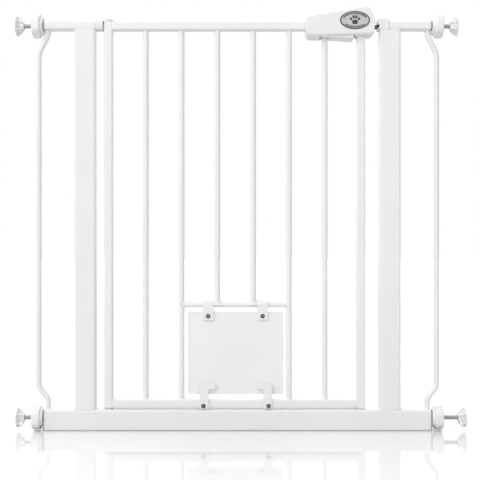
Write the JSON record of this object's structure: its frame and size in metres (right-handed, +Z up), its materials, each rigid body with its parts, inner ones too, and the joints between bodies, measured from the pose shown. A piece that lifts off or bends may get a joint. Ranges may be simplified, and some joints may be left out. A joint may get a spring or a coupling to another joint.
{
  "type": "pet gate",
  "caption": "White steel pet gate held by pressure between two walls, with a swinging leaf, a sprung latch and a lockable cat flap.",
  "frame": {"origin": "on the floor under the base bar, midway between the two posts and midway through their depth", "axes": "+X from the hinge side to the latch side, -Y towards the person working the latch, +Z up"},
  "size_m": [0.801, 0.0433, 0.7517],
  "materials": {
    "coated_steel": "satin powder coat",
    "white_plastic": "fine satin moulding",
    "flap_plastic": "smooth sheet",
    "dark_steel": "black zinc plate",
    "bright_steel": "zinc plate",
    "badge_grey": "printed grey badge"
  },
  "bodies": {
    "frame": {"base_bar": "coated_steel", "left_post": "coated_steel", "right_post": "coated_steel", "left_arm": "coated_steel", "right_arm": "coated_steel", "left_side_rod": "coated_steel", "right_side_rod": "coated_steel", "upper_left_end_plug": "white_plastic", "upper_right_end_plug": "white_plastic", "lower_left_end_plug": "white_plastic", "lower_right_end_plug": "white_plastic", "upper_hinge_block": "white_plastic", "upper_hinge_pin": "bright_steel", "lower_hinge_bush": "white_plastic", "lower_hinge_pin": "bright_steel", "leaf_rest": "white_plastic", "latch_keeper": "white_plastic"},
    "leaf": {"hinge_stile": "coated_steel", "latch_stile": "coated_steel", "top_rail": "coated_steel", "bottom_rail": "coated_steel", "bar_1": "coated_steel", "bar_2": "coated_steel", "bar_3": "coated_steel", "bar_4": "coated_steel", "bar_5": "coated_steel", "bar_6": "coated_steel", "flap_crossbar": "coated_steel", "stile_head_bush": "white_plastic", "stile_foot_bush": "white_plastic", "latch_housing_front": "white_plastic", "latch_housing_rear": "white_plastic", "latch_badge": "badge_grey", "left_housing_screw": "bright_steel", "right_housing_screw": "bright_steel", "trigger_pin": "dark_steel", "left_catch_screw": "bright_steel", "right_catch_screw": "bright_steel", "bolt_spring": "bright_steel"},
    "cat_flap": {"flap_panel": "flap_plastic", "left_flap_clip": "white_plastic", "right_flap_clip": "white_plastic", "left_clip_screw": "bright_steel", "right_clip_screw": "bright_steel"},
    "left_catch": {"left_catch": "white_plastic"},
    "right_catch": {"right_catch": "white_plastic"},
    "trigger": {"latch_trigger": "white_plastic"},
    "bolt": {"latch_bolt": "dark_steel"},
    "upper_left_wheel": {"upper_left_hand_wheel": "white_plastic"},
    "upper_left_foot": {"upper_left_spindle": "dark_steel", "upper_left_wall_pad": "white_plastic"},
    "lower_left_wheel": {"lower_left_hand_wheel": "white_plastic"},
    "lower_left_foot": {"lower_left_spindle": "dark_steel", "lower_left_wall_pad": "white_plastic"},
    "upper_right_wheel": {"upper_right_hand_wheel": "white_plastic"},
    "upper_right_foot": {"upper_right_spindle": "dark_steel", "upper_right_wall_pad": "white_plastic"},
    "lower_right_wheel": {"lower_right_hand_wheel": "white_plastic"},
    "lower_right_foot": {"lower_right_spindle": "dark_steel", "lower_right_wall_pad": "white_plastic"}
  },
  "joints": [
    {"name": "leaf_swing", "type": "hinge", "parent": "frame", "child": "leaf", "pos_m": [-0.2299, 0, 0.38], "axis": [0, 0, 1], "range_deg": [-90, 90]},
    {"name": "flap_swing", "type": "hinge", "parent": "leaf", "child": "cat_flap", "pos_m": [-0.0036, 0, 0.2243], "axis": [1, 0, 0], "range_deg": [0, 80]},
    {"name": "left_catch_turn", "type": "hinge", "parent": "leaf", "child": "left_catch", "pos_m": [-0.0605, -0.0108, 0.045], "axis": [0, -1, 0], "range_deg": [0, 90]},
    {"name": "right_catch_turn", "type": "hinge", "parent": "leaf", "child": "right_catch", "pos_m": [0.0551, -0.0108, 0.045], "axis": [0, 1, 0], "range_deg": [0, 90]},
    {"name": "trigger_squeeze", "type": "hinge", "parent": "leaf", "child": "trigger", "pos_m": [0.135, 0, 0.704], "axis": [0, -1, 0], "range_deg": [0, 6], "stiffness_Nm_per_rad": 2.5, "springref_deg": -5.73},
    {"name": "bolt_slide", "type": "slide", "parent": "leaf", "child": "bolt", "axis": [-1, 0, 0], "range_m": [0, 0.007], "deforming": ["bolt_spring"]},
    {"name": "upper_left_wheel_turn", "type": "hinge", "parent": "frame", "child": "upper_left_wheel", "pos_m": [-0.3555, 0, 0.721], "axis": [-1, 0, 0], "range_deg": [-2450, 7346]},
    {"name": "upper_left_pad_slide", "type": "slide", "parent": "frame", "child": "upper_left_foot", "axis": [-1, 0, 0], "range_m": [-0.0085, 0.0255]},
    {"name": "lower_left_wheel_turn", "type": "hinge", "parent": "frame", "child": "lower_left_wheel", "pos_m": [-0.3555, 0, 0.0225], "axis": [-1, 0, 0], "range_deg": [-2162, 7634]},
    {"name": "lower_left_pad_slide", "type": "slide", "parent": "frame", "child": "lower_left_foot", "axis": [-1, 0, 0], "range_m": [-0.0075, 0.0265]},
    {"name": "upper_right_wheel_turn", "type": "hinge", "parent": "frame", "child": "upper_right_wheel", "pos_m": [0.3555, 0, 0.721], "axis": [1, 0, 0], "range_deg": [-1730, 8066]},
    {"name": "upper_right_pad_slide", "type": "slide", "parent": "frame", "child": "upper_right_foot", "axis": [1, 0, 0], "range_m": [-0.006, 0.028]},
    {"name": "lower_right_wheel_turn", "type": "hinge", "parent": "frame", "child": "lower_right_wheel", "pos_m": [0.3555, 0, 0.0225], "axis": [1, 0, 0], "range_deg": [-5906, 3890]},
    {"name": "lower_right_pad_slide", "type": "slide", "parent": "frame", "child": "lower_right_foot", "axis": [1, 0, 0], "range_m": [-0.0205, 0.0135]}
  ],
  "couplings": [
    {"joint": "bolt_slide", "follows": "trigger_squeeze", "m_per_rad": 0.065},
    {"joint": "upper_left_wheel_turn", "follows": "upper_left_pad_slide", "rad_per_m": 5026.5},
    {"joint": "lower_left_wheel_turn", "follows": "lower_left_pad_slide", "rad_per_m": 5026.5},
    {"joint": "upper_right_wheel_turn", "follows": "upper_right_pad_slide", "rad_per_m": 5026.5},
    {"joint": "lower_right_wheel_turn", "follows": "lower_right_pad_slide", "rad_per_m": 5026.5}
  ]
}
